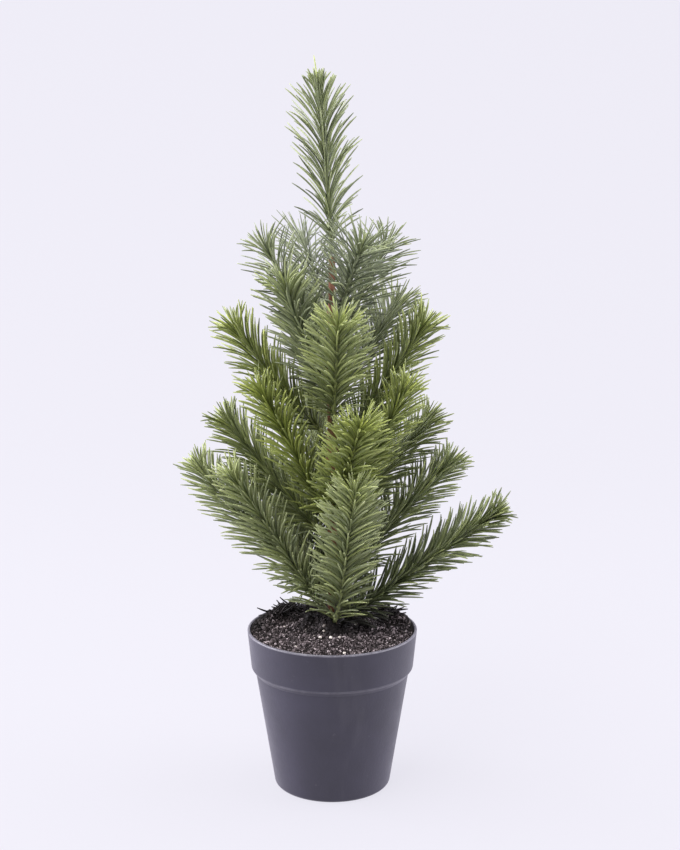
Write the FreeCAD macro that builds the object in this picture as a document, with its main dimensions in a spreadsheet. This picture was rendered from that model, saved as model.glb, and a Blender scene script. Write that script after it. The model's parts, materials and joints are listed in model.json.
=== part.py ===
import FreeCAD, Part
import math
import os

import Sketcher
from FreeCAD import Matrix, Placement, Rotation, Vector

# A potted miniature fir tree made of moulded sprigs on wires.
# Millimetres, +Z up.  The origin is the centre of the pot's base, on the surface that the pot stands on.
# -Y is the front of the tree.

DIMENSIONS = [
    # pot: a thin shell with a deep collar and a small sloping step under it
    ("pot_height", 101.0),
    ("rim_radius", 53.0),
    ("collar_foot_radius", 50.6),
    ("wall_top_radius", 47.9),
    ("base_radius", 36.2),
    ("step_level", 73.5),
    ("collar_foot_level", 77.0),
    ("wall_thickness", 1.7),
    ("floor_thickness", 1.6),
    ("foot_height", 1.4),
    ("foot_width", 6.5),
    ("pad_radius", 9.0),
    ("foot_rounding", 2.6),
    ("step_rounding", 2.0),
    ("lip_rounding", 0.75),
    # what fills the pot
    ("fill_gap", 0.15),
    ("ballast_level", 58.0),
    ("soil_edge_level", 98.3),
    ("soil_shoulder_level", 99.8),
    ("soil_shoulder_radius", 16.0),
    ("soil_crown_level", 99.6),
    ("soil_bore_radius", 3.7),
    # trunk: a steel rod and the lower ends of the branch wires, wound with paper tape
    ("rod_radius", 1.25),
    ("rod_foot_level", 10.0),
    ("rod_top_level", 331.0),
    ("bore_gap", 0.05),
    ("wrap_foot_level", 60.0),
    ("wrap_neck_level", 302.0),
    ("wrap_neck_rise", 5.0),
    ("wrap_top_level", 331.5),
    ("wrap_bore_radius", 2.6),
    ("wrap_radius", 2.95),
    ("wrap_neck_radius", 2.0),
    ("binding_radius", 3.5),
    ("binding_width", 7.0),
    ("binding_gap", 0.05),
    # branch wires
    ("wire_radius", 0.6),
    ("wire_length", 18.5),
    ("wire_leg_length", 22.0),
    ("wire_leg_offset", 1.9),
    ("root_radius", 4.0),
    # sprigs: one moulding of stem, needles and socket
    ("sprig_start", 3.0),
    ("socket_depth", 16.0),
    ("socket_width", 1.3),
    ("stem_width", 2.5),
    ("stem_tip_width", 1.2),
    ("needle_thickness", 0.8),
    ("needle_root_width", 2.0),
    ("needle_tip_width", 0.7),
    ("needle_pitch", 4.5),
    ("needle_start", 13.0),
    ("needle_reach", 7.0),
    ("needle_full_reach_at", 55.0),
    ("tip_reach", 11.0),
]

# Each tier's tape binding, by the level of its lower edge.
BINDING_LEVELS = {"tier_1": 268.0, "tier_2": 204.0, "tier_3": 148.0, "tier_4": 91.0}

# Each branch: the level of its root, its heading about +Z from +X, its rise over the horizontal at the
# root and at the tip (degrees), and the length of its stem.  A stem is an arc in its own upright plane.
BRANCHES = {
    "t1_left": (286, 195, 50, 62, 68),
    "t1_back_left": (295, 110, 46, 42, 68),
    "t1_back": (279, 68, 56, 50, 68),
    "t1_front": (292, -66, 60, 48, 66),
    "t1_right": (284, 26, 58, 62, 68),
    "t2_front_left": (248, -132, 62, 66, 82),
    "t2_back_right": (246, 46, 42, 44, 82),
    "t2_left": (223, 177, 44, 58, 90),
    "t2_right": (214, 2, 54, 58, 96),
    "t2_front": (233, -86, 53, 63, 80),
    "t2_back": (238, 112, 54, 50, 86),
    "t3_front_left": (168, -155, 68, 58, 101),
    "t3_front_right": (172, -26, 59, 65, 98),
    "t3_front": (171, -72, 49, 55, 90),
    "t3_left": (158, 168, 48, 51, 98),
    "t3_back_right": (168, 34, 42, 39, 93),
    "t3_back": (164, 98, 52, 48, 96),
    "t4_front_left": (108, -164, 62, 54, 113),
    "t4_left": (122, 170, 40, 50, 115),
    "t4_back_right": (128, 20, 50, 38, 107),
    "t4_front": (104, -77, 66, 61, 111),
    "t4_right": (102, -5, 40, 35, 124),
    "t4_back_left": (116, 125, 48, 46, 108),
    "t4_back": (112, 68, 52, 44, 108),
}

# The leader stands on the top of the trunk and leans a little to the left.
LEADER = (332.6, 180, 87, 83.5, 106.5)

# Pale grains on the soil: heading, distance from the trunk, size.
GRAINS = [
    (-112, 19.5, 1.1),
    (-93, 18.5, 1.2),
    (-76, 18.0, 0.9),
    (-115, 12.5, 0.8),
    (-81, 46.0, 1.1),
    (-124, 39.5, 0.7),
    (143, 46.0, 0.7),
    (173, 30.0, 0.6),
    (-27, 39.5, 0.6),
]

doc = FreeCAD.newDocument("TabletopTree")


def make_sheet(name, cells):
    """Write the named values down one spreadsheet, a name beside each value."""
    sheet = doc.addObject("Spreadsheet::Sheet", name)
    for row, (alias, value) in enumerate(cells, start=1):
        sheet.set("A%d" % row, alias)
        sheet.set("B%d" % row, str(value))
        sheet.setAlias("B%d" % row, alias)
    return sheet


def branch_cells():
    """The branch table as spreadsheet cells, five to a branch."""
    parts = ("level", "heading", "root_rise", "tip_rise", "length")
    cells = []
    for name, values in list(BRANCHES.items()) + [("leader", LEADER)]:
        cells += [("%s_%s" % (name, part), value) for part, value in zip(parts, values)]
    return cells


sheet = make_sheet("Dimensions", DIMENSIONS)
branch_sheet = make_sheet("Branches", branch_cells())
doc.recompute()


def dim(alias):
    return float(getattr(sheet, alias))


def branch_dim(name, part):
    return float(getattr(branch_sheet, "%s_%s" % (name, part)))


def on_sheet(formula):
    """Give each name of the spreadsheet in a formula its full reference."""
    words = []
    for word in formula.split():
        words.append("Dimensions." + word if word in ALIASES else word)
    return " ".join(words)


ALIASES = {alias for alias, value in DIMENSIONS}
ORIGIN_POINT = (-1, 1)
X_AXIS, Y_AXIS = -1, -2
START, END = 1, 2

# An outline is first drawn as a regular polygon of this size and place, and then pulled to its dimensions.
FIRST_MIDDLE, FIRST_RADIUS = 60.0, 30.0

EDGE_MATCH = 0.01   # how closely an edge must lie to the place where it is looked for
STEM_RUNS = 6       # straight runs that make up a stem's arc
HOLE_LEAD = 1.0     # how far a socket's cutter starts before the stem does


def origin_plane(body, role):
    for feature in body.Origin.OriginFeatures:
        if feature.Role == role:
            return feature
    raise ValueError(role)


def outline_sketch(body, name, corners):
    """A closed outline in the body's XZ plane.

    Each corner is a pair of formulas, for its radius and its level.  An empty radius lies on the axis,
    and an empty level lies on the base plane.
    """
    sketch = body.newObject("Sketcher::SketchObject", name)
    sketch.AttachmentSupport = (origin_plane(body, "XZ_Plane"), [""])
    sketch.MapMode = "FlatFace"
    count = len(corners)
    start_points = []
    for index in range(count):
        turn = 2 * math.pi * index / count
        x = FIRST_MIDDLE + FIRST_RADIUS * math.cos(turn)
        y = FIRST_MIDDLE + FIRST_RADIUS * math.sin(turn)
        start_points.append(Vector(x, y, 0))
    for index in range(count):
        line = Part.LineSegment(start_points[index], start_points[(index + 1) % count])
        sketch.addGeometry(line, False)
    for index in range(count):
        joint = Sketcher.Constraint("Coincident", index, END, (index + 1) % count, START)
        sketch.addConstraint(joint)
    for index, (radius, level) in enumerate(corners):
        for kind, formula, axis in (("DistanceX", radius, Y_AXIS), ("DistanceY", level, X_AXIS)):
            if not formula:
                sketch.addConstraint(Sketcher.Constraint("PointOnObject", index, START, axis))
                continue
            first_value = start_points[index].x if kind == "DistanceX" else start_points[index].y
            ends = ORIGIN_POINT + (index, START)
            number = sketch.addConstraint(Sketcher.Constraint(kind, *ends, first_value))
            sketch.setExpression("Constraints[%d]" % number, on_sheet(formula))
    return sketch


def revolved_body(label, corners):
    """A body turned about the Z axis from an outline."""
    body = doc.addObject("PartDesign::Body", label)
    body.Label = label
    sketch = outline_sketch(body, label + "_outline", corners)
    turned = body.newObject("PartDesign::Revolution", label + "_turned")
    turned.Profile = sketch
    turned.ReferenceAxis = (sketch, ["V_Axis"])
    turned.Angle = 360.0
    doc.recompute()
    return body


def round_edges(body, name, radius_alias, places):
    """Round the circular edges of a turned body that lie at the given radii and levels."""
    base = body.Tip
    edges = []
    for number, edge in enumerate(base.Shape.Edges, start=1):
        if not isinstance(edge.Curve, Part.Circle):
            continue
        for radius, level in places:
            off = max(abs(edge.Curve.Radius - radius), abs(edge.Curve.Center.z - level))
            if off < EDGE_MATCH:
                edges.append("Edge%d" % number)
    if len(edges) != len(places):
        raise ValueError("%s found %d of %d edges" % (name, len(edges), len(places)))
    rounding = body.newObject("PartDesign::Fillet", name)
    rounding.Base = (base, edges)
    rounding.setExpression("Radius", "Dimensions." + radius_alias)
    doc.recompute()


# Formulas for the inside of the pot.
POT_FLOOR = "( foot_height + floor_thickness )"
INNER_STEP = "( step_level + wall_thickness )"
INNER_LEDGE = "( collar_foot_level + wall_thickness )"
INNER_BASE = "( base_radius - wall_thickness )"
INNER_WALL_TOP = "( wall_top_radius - wall_thickness )"
INNER_COLLAR_FOOT = "( collar_foot_radius - wall_thickness )"
INNER_RIM = "( rim_radius - wall_thickness )"
WALL_SLOPE = "( ( %s - %s ) / ( %s - %s ) )" % (INNER_WALL_TOP, INNER_BASE, INNER_STEP, POT_FLOOR)
COLLAR_SLOPE = "( ( %s - %s ) / ( pot_height - %s ) )" % (INNER_RIM, INNER_COLLAR_FOOT, INNER_LEDGE)


def wall_inside(level):
    """Formula for the radius inside the pot's wall at a level, less the fill's gap."""
    return "%s + %s * ( %s - %s ) - fill_gap" % (INNER_BASE, WALL_SLOPE, level, POT_FLOOR)


def collar_inside(level):
    """Formula for the radius inside the pot's collar at a level, less the fill's gap."""
    return "%s + %s * ( %s - %s ) - fill_gap" % (INNER_COLLAR_FOOT, COLLAR_SLOPE, level, INNER_LEDGE)


def make_pot():
    """The pot's shell stands on a foot ring and a small pad in the middle, with a shallow channel between."""
    foot_inside = "base_radius - foot_width"
    body = revolved_body("pot", [
        ("", ""),
        ("pad_radius", ""),
        ("pad_radius", "foot_height"),
        (foot_inside, "foot_height"),
        (foot_inside, ""),
        ("base_radius", ""),
        ("wall_top_radius", "step_level"),
        ("collar_foot_radius", "collar_foot_level"),
        ("rim_radius", "pot_height"),
        (INNER_RIM, "pot_height"),
        (INNER_COLLAR_FOOT, INNER_LEDGE),
        (INNER_WALL_TOP, INNER_STEP),
        (INNER_BASE, POT_FLOOR),
        ("", POT_FLOOR),
    ])
    rim = dim("rim_radius")
    top = dim("pot_height")
    round_edges(body, "foot_edge", "foot_rounding", [(dim("base_radius"), 0.0)])
    round_edges(body, "collar_edge", "step_rounding", [(dim("collar_foot_radius"), dim("collar_foot_level"))])
    round_edges(body, "lip_edges", "lip_rounding", [(rim, top), (rim - dim("wall_thickness"), top)])


def make_ballast():
    bore = "rod_radius + bore_gap"
    floor = POT_FLOOR + " + fill_gap"
    revolved_body("cement_ballast", [
        (bore, floor),
        (wall_inside("( %s )" % floor), floor),
        (wall_inside("ballast_level"), "ballast_level"),
        (bore, "ballast_level"),
    ])


def make_soil():
    foot = "( ballast_level + fill_gap )"
    revolved_body("soil_fill", [
        ("soil_bore_radius", foot),
        (wall_inside(foot), foot),
        (wall_inside(INNER_STEP), INNER_STEP),
        (collar_inside("( %s + fill_gap )" % INNER_LEDGE), INNER_LEDGE + " + fill_gap"),
        (collar_inside("soil_edge_level"), "soil_edge_level"),
        ("soil_shoulder_radius", "soil_shoulder_level"),
        ("soil_bore_radius", "soil_crown_level"),
    ])


def make_trunk():
    rod = doc.addObject("Part::Cylinder", "trunk_rod")
    rod.Label = "trunk_rod"
    rod.setExpression("Radius", "Dimensions.rod_radius")
    rod.setExpression("Height", "Dimensions.rod_top_level - Dimensions.rod_foot_level")
    rod.setExpression("Placement.Base.z", "Dimensions.rod_foot_level")
    neck_top = "wrap_neck_level + wrap_neck_rise"
    neck_bore = "rod_radius + bore_gap"
    revolved_body("trunk_wrap", [
        ("wrap_bore_radius", "wrap_foot_level"),
        ("wrap_radius", "wrap_foot_level"),
        ("wrap_radius", "wrap_neck_level"),
        ("wrap_neck_radius", neck_top),
        ("wrap_neck_radius", "wrap_top_level"),
        (neck_bore, "wrap_top_level"),
        (neck_bore, neck_top),
        ("wrap_bore_radius", "wrap_neck_level"),
    ])


def add_shape(label, shape, placement=None):
    """A sub-part whose shape is worked out here from the spreadsheets' values."""
    feature = doc.addObject("Part::Feature", label)
    feature.Label = label
    feature.Shape = shape
    if placement:
        feature.Placement = placement


def make_bindings():
    """Collars of wound tape, one under each tier, as a group of separate rings."""
    inner = dim("wrap_radius") + dim("binding_gap")
    rings = []
    for level in BINDING_LEVELS.values():
        place = Vector(0, 0, level)
        outside = Part.makeCylinder(dim("binding_radius"), dim("binding_width"), place)
        inside = Part.makeCylinder(inner, dim("binding_width"), place)
        rings.append(outside.cut(inside))
    add_shape("tape_bindings", Part.makeCompound(rings))


def make_wire_legs():
    """The branch wires' lower ends, lying along the rod under the tape, as a group of separate wires."""
    legs = []
    for name in BRANCHES:
        heading = math.radians(branch_dim(name, "heading"))
        level = branch_dim(name, "level") - dim("wire_leg_length")
        offset = dim("wire_leg_offset")
        foot = Vector(offset * math.cos(heading), offset * math.sin(heading), level)
        legs.append(Part.makeCylinder(dim("wire_radius"), dim("wire_leg_length"), foot))
    add_shape("wire_legs", Part.makeCompound(legs))


def soil_level(distance):
    """Height of the soil's surface at a distance from the trunk: level, then falling from its shoulder."""
    shoulder, edge = dim("soil_shoulder_radius"), dim("rim_radius") - dim("wall_thickness")
    share = max(distance - shoulder, 0.0) / (edge - shoulder)
    return dim("soil_shoulder_level") + share * (dim("soil_edge_level") - dim("soil_shoulder_level"))


def make_perlite():
    """Pale grains that lie on the soil, as a group of separate solids."""
    grains = []
    for heading, distance, size in GRAINS:
        turn = math.radians(heading)
        level = soil_level(distance) + size + dim("fill_gap")
        middle = Vector(distance * math.cos(turn), distance * math.sin(turn), level)
        grains.append(Part.makeSphere(size, middle))
    add_shape("perlite", Part.makeCompound(grains))


class StemArc:
    """A stem's centre line: an arc in the XZ plane that starts at the origin."""

    def __init__(self, length, root_rise, tip_rise):
        self.length = length
        self.root_rise = math.radians(root_rise)
        self.bend = math.radians(tip_rise - root_rise) / length

    def rise(self, along):
        return self.root_rise + self.bend * min(along, self.length)

    def point(self, along):
        """Position at a distance along the stem, straight on past the tip."""
        on_arc = min(along, self.length)
        start, end = self.root_rise, self.rise(on_arc)
        middle = 0.5 * (start + end)
        half = 0.5 * (end - start)
        chord = on_arc * (math.sin(half) / half if half else 1.0)
        past = along - on_arc
        x = chord * math.cos(middle) + past * math.cos(end)
        z = chord * math.sin(middle) + past * math.sin(end)
        return Vector(x, 0, z)

    def offset_point(self, along, offset):
        """A point beside the stem, in its own plane."""
        rise = self.rise(along)
        return self.point(along) + Vector(-math.sin(rise), 0, math.cos(rise)) * offset


def needle_reach(along, length):
    """How far the needles stand out from the stem: little at the root, least at the tip."""
    start, full = dim("needle_start"), dim("needle_full_reach_at")
    share = min(max((along - start) / (full - start), 0.0), 1.0)
    reach = dim("stem_width") + (dim("needle_reach") - dim("stem_width")) * share
    left = max(length - along, 0.0) / dim("tip_reach")
    return reach * min(1.0, 0.5 + 0.5 * left)


def comb_edge(first, last, length):
    """One edge of a comb of needles, from first to last along the stem, as (along, offset) pairs.

    The needles lean forward by as much as they stand out.
    """
    core = 0.5 * dim("stem_tip_width")
    root, tip = dim("needle_root_width"), dim("needle_tip_width")
    count = int((last - first - root) / dim("needle_pitch"))
    pitch = (last - first) / count
    edge = [(first, core)]
    for number in range(count):
        along = first + number * pitch
        reach = needle_reach(along, length)
        lean = reach - core
        if number:
            edge.append((along, core))
        edge.append((along + lean, reach))
        edge.append((along + lean + tip, reach - 0.5 * tip))
        edge.append((along + root, core))
    edge.append((last, core))
    return edge


def closed_face(points):
    return Part.Face(Part.makePolygon(points + [points[0]]))


def slab(face, direction, thickness):
    """A face thickened equally to both sides."""
    face = face.translated(direction * (-0.5 * thickness))
    return face.extrude(direction * thickness)


def stem_solid(arc):
    """The stem, square in section and tapered, in short straight runs along its arc."""
    start = dim("sprig_start")
    upper, lower = [], []
    for number in range(STEM_RUNS + 1):
        share = number / STEM_RUNS
        along = start + share * (arc.length - start)
        half = 0.5 * (dim("stem_width") + share * (dim("stem_tip_width") - dim("stem_width")))
        upper.append(arc.offset_point(along, half))
        lower.append(arc.offset_point(along, -half))
    tip = arc.point(arc.length + dim("tip_reach"))
    face = closed_face(upper + [tip] + lower[::-1])
    return slab(face, Vector(0, 1, 0), dim("stem_width"))


def upright_comb(arc):
    """Needles above and below the stem."""
    edge = comb_edge(dim("needle_start"), arc.length, arc.length)
    above = [arc.offset_point(along, offset) for along, offset in edge]
    below = [arc.offset_point(along, -offset) for along, offset in edge]
    return slab(closed_face(above + below[::-1]), Vector(0, 1, 0), dim("needle_thickness"))


def flat_comb(arc, first, last):
    """Needles at the two sides of one straight stretch of the stem."""
    start, end = arc.point(first), arc.point(last)
    rise = math.degrees(math.atan2(end.z - start.z, end.x - start.x))
    edge = comb_edge(first, last, arc.length)
    left = [Vector(along - first, offset, 0) for along, offset in edge]
    right = [Vector(along - first, -offset, 0) for along, offset in edge]
    comb = slab(closed_face(left + right[::-1]), Vector(0, 0, 1), dim("needle_thickness"))
    comb.Placement = Placement(start, Rotation(Vector(0, -1, 0), rise))
    return comb


def socket_solid(arc):
    """The blind square hole in the stem's root that slides over the wire."""
    width, depth = dim("socket_width"), dim("socket_depth")
    start = dim("sprig_start") - HOLE_LEAD
    hole = Part.makeBox(depth + HOLE_LEAD, width, width, Vector(start, -0.5 * width, -0.5 * width))
    hole.Placement = Placement(Vector(), Rotation(Vector(0, -1, 0), math.degrees(arc.root_rise)))
    return hole


def sprig_shape(arc):
    middle = 0.5 * (dim("needle_start") + arc.length)
    combs = [
        upright_comb(arc),
        flat_comb(arc, dim("needle_start"), middle),
        flat_comb(arc, middle, arc.length),
    ]
    return stem_solid(arc).fuse(combs).cut(socket_solid(arc)).removeSplitter()


def make_branch(name, root_radius):
    """One wire and the sprig that is pushed on to it, in the branch's own upright plane."""
    heading = branch_dim(name, "heading")
    rise = branch_dim(name, "root_rise")
    turn = Rotation(Vector(0, 0, 1), heading)
    root = turn.multVec(Vector(root_radius, 0, 0)) + Vector(0, 0, branch_dim(name, "level"))
    wire = doc.addObject("Part::Cylinder", "wire_" + name)
    wire.Label = "wire_" + name
    wire.setExpression("Radius", "Dimensions.wire_radius")
    wire.setExpression("Height", "Dimensions.wire_length")
    wire.Placement = Placement(root, turn.multiply(Rotation(Vector(0, 1, 0), 90 - rise)))
    arc = StemArc(branch_dim(name, "length"), rise, branch_dim(name, "tip_rise"))
    add_shape("sprig_" + name, sprig_shape(arc), Placement(root, turn))


def check_document():
    """Stop if any object failed to build."""
    for item in doc.Objects:
        if "Invalid" in item.State or "Error" in item.State:
            raise RuntimeError("%s did not build: %s" % (item.Label, item.State))


def sub_parts():
    """The finished sub-parts: every body and every other shape that is not inside a body."""
    found = []
    for item in doc.Objects:
        if item.TypeId in ("PartDesign::Body", "Part::Cylinder", "Part::Feature"):
            found.append(item)
    return found


make_pot()
make_ballast()
make_soil()
make_perlite()
make_trunk()
make_bindings()
make_wire_legs()
make_branch("leader", 0.0)
for branch in BRANCHES:
    make_branch(branch, dim("root_radius"))

doc.recompute()
check_document()

os.makedirs("parts", exist_ok=True)
for item in sub_parts():
    if item.Shape.isNull() or not item.Shape.isValid():
        raise RuntimeError("%s has no valid shape" % item.Label)
    if item.Shape.Volume <= 0:
        raise RuntimeError("%s is inside out" % item.Label)
    item.Shape.exportStep("parts/%s.step" % item.Label)
print("%d sub-parts" % len(sub_parts()))
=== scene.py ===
import json
import math

import bpy
import numpy as np
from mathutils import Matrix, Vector, noise


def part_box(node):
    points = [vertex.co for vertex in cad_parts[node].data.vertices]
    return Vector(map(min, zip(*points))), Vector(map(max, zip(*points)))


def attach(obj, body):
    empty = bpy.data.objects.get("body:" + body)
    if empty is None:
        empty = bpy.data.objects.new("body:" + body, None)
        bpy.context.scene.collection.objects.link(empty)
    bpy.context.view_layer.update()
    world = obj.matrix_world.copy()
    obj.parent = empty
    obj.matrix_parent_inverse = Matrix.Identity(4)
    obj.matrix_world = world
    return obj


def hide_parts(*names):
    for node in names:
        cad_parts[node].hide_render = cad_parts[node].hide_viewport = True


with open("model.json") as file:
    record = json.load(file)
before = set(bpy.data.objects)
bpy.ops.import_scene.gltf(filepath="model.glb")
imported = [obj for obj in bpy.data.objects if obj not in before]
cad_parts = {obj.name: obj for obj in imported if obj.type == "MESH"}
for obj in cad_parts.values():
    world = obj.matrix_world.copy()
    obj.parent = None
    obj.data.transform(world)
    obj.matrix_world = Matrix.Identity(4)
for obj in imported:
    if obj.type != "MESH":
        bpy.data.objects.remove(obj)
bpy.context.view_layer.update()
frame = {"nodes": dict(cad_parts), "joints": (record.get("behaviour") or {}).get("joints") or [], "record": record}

MM = 0.001
UP = np.array([0.0, 0.0, 1.0])
COLLAR_EDGE = 76.6 * MM      # height of the lower edge of the pot's collar

# How each sprig looks: freshness (0 blue-grey, 1 yellow-green), shade (1 is plain, less is darker; partly
# the sprig's own tone and partly painted light and shade, set for how brightly the sprig is lit where it
# stands), sideways bow of the stem in millimetres, how far the moulding is rolled about its stem in degrees,
# and how widely the needles at its tip fan out (0 closed, 1 open).
SPRIG_LOOKS = {
    "leader": (0.36, 0.92, -1.5, 0, 0.0),
    "t1_left": (0.15, 0.78, 2.0, 10, 1.0),
    "t1_back_left": (0.05, 0.80, -1.5, -20, 0.9),
    "t1_back": (0.10, 0.75, 1.0, 15, 0.8),
    "t1_front": (0.15, 0.72, -2.0, 25, 1.0),
    "t1_right": (0.25, 0.76, 2.0, -10, 1.0),
    "t2_front_left": (0.25, 1.10, 2.5, 15, 0.9),
    "t2_back_right": (0.15, 1.30, -2.0, 0, 0.9),
    "t2_left": (0.75, 0.98, 2.0, -15, 0.8),
    "t2_right": (0.62, 1.12, -2.5, 10, 0.8),
    "t2_front": (0.50, 1.48, -0.5, 0, 0.7),
    "t2_back": (0.30, 0.95, 1.5, 20, 0.6),
    "t3_front_left": (0.85, 1.06, -2.0, 10, 0.7),
    "t3_front_right": (0.72, 1.04, 2.5, -15, 0.7),
    "t3_front": (0.78, 1.16, 2.0, 5, 0.7),
    "t3_left": (0.55, 0.98, -2.0, 0, 0.7),
    "t3_back_right": (0.60, 0.80, 2.0, 12, 0.7),
    "t3_back": (0.50, 0.95, -2.0, -10, 0.5),
    "t4_front_left": (0.28, 1.72, 3.0, 10, 0.6),
    "t4_left": (0.28, 1.55, -2.5, -8, 0.7),
    "t4_back_right": (0.32, 1.28, 2.5, 6, 0.6),
    "t4_front": (0.38, 1.46, -2.5, 0, 0.7),
    "t4_right": (0.42, 0.58, -2.0, -6, 0.5),
    "t4_back_left": (0.40, 0.95, 2.0, 15, 0.5),
    "t4_back": (0.35, 0.95, -2.0, 0, 0.5),
}

# How the needles of each tier grow: their spacing and length in millimetres, thickness (1 is plain), how
# far their tips curl upwards as a share of their length, and their angles from the stem in degrees, where
# they leave it and at their tips.
TIER_LOOKS = {
    "leader": (4.8, 34.5, 0.92, 0.00, 25.0, 69.0),
    "t1": (6.4, 29.0, 0.86, 0.10, 36.0, 80.0),
    "t2": (4.1, 29.5, 1.00, 0.04, 28.0, 64.0),
    "t3": (3.9, 29.5, 1.04, 0.00, 26.0, 61.0),
    "t4": (3.9, 28.5, 1.05, 0.05, 30.0, 64.0),
}

# Rows of needles round a stem: the row's angle in degrees from the stem's side, and how much further
# apart its needles are than in the side rows.
NEEDLE_ROWS = [
    (-4, 1.0), (184, 1.0),
    (11, 1.0), (169, 1.0),
    (27, 1.0), (153, 1.0),
    (44, 1.2), (136, 1.2),
    (60, 2.2), (120, 2.2),
    (-21, 1.1), (201, 1.1),
    (-42, 1.4), (222, 1.4),
    (-68, 2.0), (248, 2.0),
]
NEEDLE_POINTS = 9
NEEDLE_SIDES = 6
NEEDLE_END = 0.2 * MM        # how far a needle's rounded end stands out past its last ring
STEM_SIDES = 10
STEM_RINGS = 40
STEM_START = 2.4 * MM        # distance from the hinge to where the stem begins
STEM_KNOTS = 3.6 * MM        # distance between the swellings along a stem
TIP_ROSETTE = 24             # needles in the fan round a sprig's tip
TIP_LENGTH = 14.0 * MM
LEADER_TIP_LENGTH = 19.0 * MM
GOLDEN_TURN = 2.39996        # radians between one needle of the fan and the next
SOIL_GRAINS = 8200
GREY = (0.5, 0.5, 0.5, 0.5)  # point colour where the material does not read it


# ---------------------------------------------------------------- small tools

def smooth_step(value, low, high):
    share = np.clip((np.asarray(value, float) - low) / (high - low), 0.0, 1.0)
    return share * share * (3.0 - 2.0 * share)


def unit(vectors):
    return vectors / np.linalg.norm(vectors, axis=-1, keepdims=True)


def make_object(name, points, quads, triangles, material, label=None, data=None, smooth=True):
    """A mesh object from arrays of points and faces, with one named colour on each point."""
    mesh = bpy.data.meshes.new(name)
    corners = np.concatenate([np.ravel(quads), np.ravel(triangles)]).astype(np.int32)
    sizes = np.repeat([4, 3], [len(quads), len(triangles)])
    mesh.vertices.add(len(points))
    mesh.vertices.foreach_set("co", np.asarray(points, np.float32).ravel())
    mesh.loops.add(len(corners))
    mesh.loops.foreach_set("vertex_index", corners)
    mesh.polygons.add(len(sizes))
    mesh.polygons.foreach_set("loop_start", (np.cumsum(sizes) - sizes).astype(np.int32))
    mesh.polygons.foreach_set("use_smooth", np.full(len(sizes), smooth))
    mesh.update(calc_edges=True)
    if label:
        layer = mesh.attributes.new(label, "FLOAT_COLOR", "POINT")
        layer.data.foreach_set("color", np.asarray(data, np.float32).ravel())
    mesh.materials.append(material)
    piece = bpy.data.objects.new(name, mesh)
    bpy.context.scene.collection.objects.link(piece)
    return piece


class MeshParts:
    """Collects points, faces and one colour attribute from several shapes into one mesh."""

    def __init__(self):
        self.points, self.data = [], []
        self.faces = {4: [np.empty((0, 4), int)], 3: [np.empty((0, 3), int)]}
        self.count = 0

    def add(self, points, faces, data):
        """Add one shape, or many shapes that share their faces when points has one more dimension."""
        points = np.asarray(points, float)
        if points.ndim == 2:
            points = points[None]
        shapes, size = points.shape[:2]
        starts = self.count + size * np.arange(shapes)
        for group in faces:
            group = np.asarray(group)
            corners = group[None] + starts[:, None, None]
            self.faces[group.shape[1]].append(corners.reshape(-1, group.shape[1]))
        self.points.append(points.reshape(-1, 3))
        data = np.broadcast_to(np.asarray(data, float), (shapes, size, 4))
        self.data.append(data.reshape(-1, 4))
        self.count += shapes * size

    def object(self, name, material, label, smooth=True):
        quads, triangles = np.concatenate(self.faces[4]), np.concatenate(self.faces[3])
        return make_object(name, np.concatenate(self.points), quads, triangles, material, label,
                           np.concatenate(self.data), smooth)


def tube_faces(rings, sides):
    """The four-sided and the three-sided faces of a closed tube.

    The tube's points are its rings in order, and then its first and its last cap point.
    """
    walls, caps = [], []
    for ring in range(rings - 1):
        for side in range(sides):
            after = (side + 1) % sides
            low, high = ring * sides, (ring + 1) * sides
            walls.append((low + side, low + after, high + after, high + side))
    first_cap, last_cap = rings * sides, rings * sides + 1
    last = (rings - 1) * sides
    for side in range(sides):
        after = (side + 1) % sides
        caps.append((first_cap, after, side))
        caps.append((last_cap, last + side, last + after))
    return walls, caps


def tube_points(lines, across, over, half_widths, half_heights, sides, round_end):
    """Points of tubes round one line or many, elliptical in section, for tube_faces."""
    turn = 2 * np.pi * np.arange(sides) / sides
    wide = np.asarray(half_widths)[..., None, None] * across[..., None, :]
    high = np.asarray(half_heights)[..., None, None] * over[..., None, :]
    rings = lines[..., None, :] + np.cos(turn)[:, None] * wide + np.sin(turn)[:, None] * high
    end = lines[..., -1, :] + unit(lines[..., -1, :] - lines[..., -2, :]) * round_end
    shape = lines.shape[:-2] + (-1, 3)
    return np.concatenate([rings.reshape(shape), lines[..., :1, :], end[..., None, :]], axis=-2)


# ---------------------------------------------------------------- materials

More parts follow.
